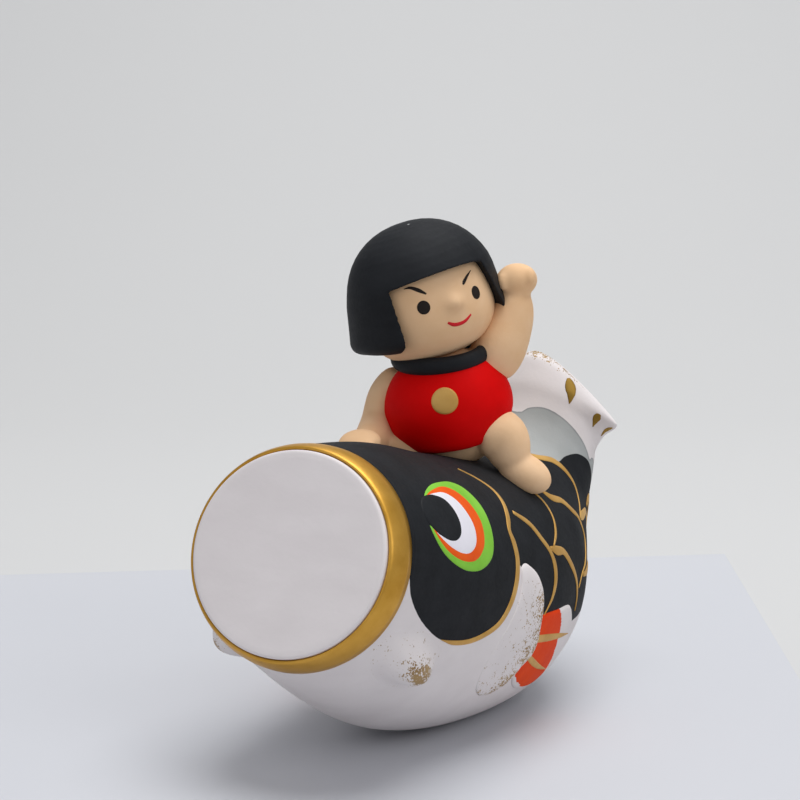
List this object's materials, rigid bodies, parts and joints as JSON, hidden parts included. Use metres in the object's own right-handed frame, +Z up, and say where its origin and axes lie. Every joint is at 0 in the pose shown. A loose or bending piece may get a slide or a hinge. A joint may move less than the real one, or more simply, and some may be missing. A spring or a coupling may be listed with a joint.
{
  "type": "carp streamer figurine",
  "caption": "Hand-painted clay figurine of a doll child in a red apron riding on a carp streamer, with a round open-mouthed front and an upturned tail; stands on a flat foot.",
  "frame": {"origin": "middle of the carp's flat foot, on the surface that the figurine stands on", "axes": "-Y is the way the carp's mouth faces, +X is the carp's left side, +Z is up"},
  "size_m": [0.0518, 0.1025, 0.0909],
  "materials": {
    "black_painted_clay": "matte paint on unglazed fired clay",
    "white_painted_clay": "matte white paint on unglazed fired clay",
    "gold_painted_clay": "metallic gold paint on unglazed fired clay",
    "skin_painted_clay": "matte skin-coloured paint on unglazed fired clay",
    "red_painted_clay": "matte red paint on unglazed fired clay"
  },
  "bodies": {
    "root": {"carp_body": "black_painted_clay", "tail_fin": "white_painted_clay", "mouth_ring": "gold_painted_clay", "mouth_cover": "white_painted_clay", "left_side_fin": "white_painted_clay", "left_belly_fin": "white_painted_clay", "left_front_fin": "white_painted_clay", "right_side_fin": "white_painted_clay", "right_belly_fin": "white_painted_clay", "right_front_fin": "white_painted_clay", "torso": "skin_painted_clay", "apron": "red_painted_clay", "apron_collar": "black_painted_clay", "left_arm": "skin_painted_clay", "right_arm": "skin_painted_clay", "left_leg": "skin_painted_clay", "right_leg": "skin_painted_clay", "head": "skin_painted_clay", "hair_cap": "black_painted_clay"}
  },
  "joints": []
}
